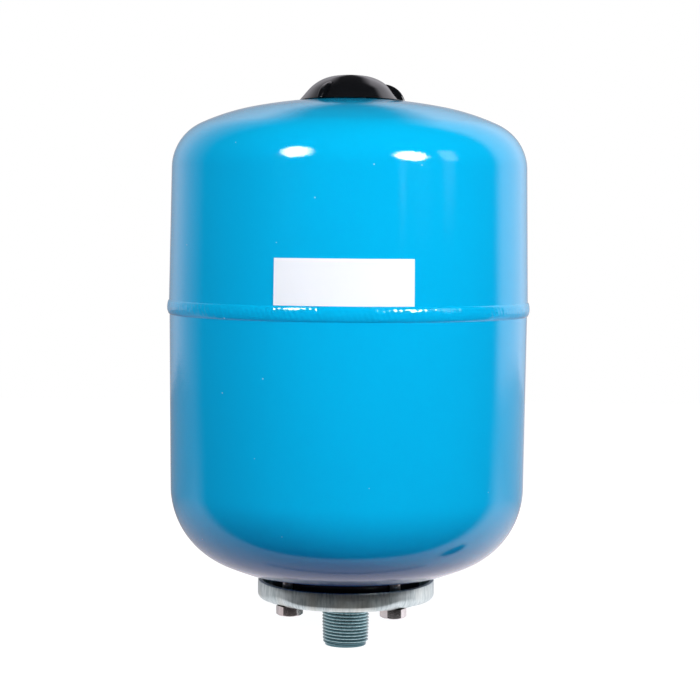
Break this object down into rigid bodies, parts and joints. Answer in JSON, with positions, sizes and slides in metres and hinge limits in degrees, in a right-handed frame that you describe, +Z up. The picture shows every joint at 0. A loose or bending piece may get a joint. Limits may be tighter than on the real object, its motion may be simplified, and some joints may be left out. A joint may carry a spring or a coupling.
{
  "type": "well pressure tank",
  "caption": "Upright steel pressure vessel with domed ends, a welded girth seam, a rubber water bag, a bolted counterflange with a threaded nipple below and an air valve under a cap on top.",
  "frame": {"origin": "centre of the water nipple's end face, the lowest point of the tank", "axes": "+Z up along the tank's axis, from the water nipple to the air valve; -Y towards the label"},
  "size_m": [0.205, 0.205, 0.3236],
  "materials": {
    "blue_enamel": "gloss",
    "weld_paint": "gloss over a rough bead",
    "zinc_plate": "bright zinc plate with streaks",
    "zinc_thread": "blue-green zinc plate on a cut thread",
    "zinc_bolt": "pale zinc plate",
    "bare_steel": "plain steel",
    "black_rubber": "moulded rubber, glossy collar",
    "seal_rubber": "moulded rubber",
    "valve_brass": "turned",
    "spring_wire": "drawn wire",
    "black_cap": "gloss",
    "label_film": "printed film"
  },
  "bodies": {
    "tank": {"upper_shell": "blue_enamel", "lower_shell": "blue_enamel", "girth_weld": "weld_paint", "label": "label_film", "threaded_nipple": "zinc_thread", "nipple_weld": "bare_steel", "counterflange": "zinc_plate", "flange_bolts": "zinc_bolt", "weld_nuts": "bare_steel", "bladder": "black_rubber", "valve_boss": "bare_steel", "boss_weld": "bare_steel", "valve_seal": "seal_rubber", "valve_body": "valve_brass", "core_barrel": "valve_brass", "core_seal": "seal_rubber", "core_spring": "spring_wire"},
    "cap": {"cover_cap": "black_cap"},
    "valve_pin": {"core_pin": "valve_brass", "core_cup": "valve_brass", "cup_seal": "seal_rubber"}
  },
  "joints": [
    {"name": "cap_lift", "type": "slide", "parent": "tank", "child": "cap", "axis": [0, 0, 1], "range_m": [0, 0.035]},
    {"name": "valve_press", "type": "slide", "parent": "tank", "child": "valve_pin", "axis": [0, 0, -1], "range_m": [0, 0.0015], "stiffness_N_per_m": 600, "springref_m": -0.0008, "deforming": ["core_spring"]}
  ]
}
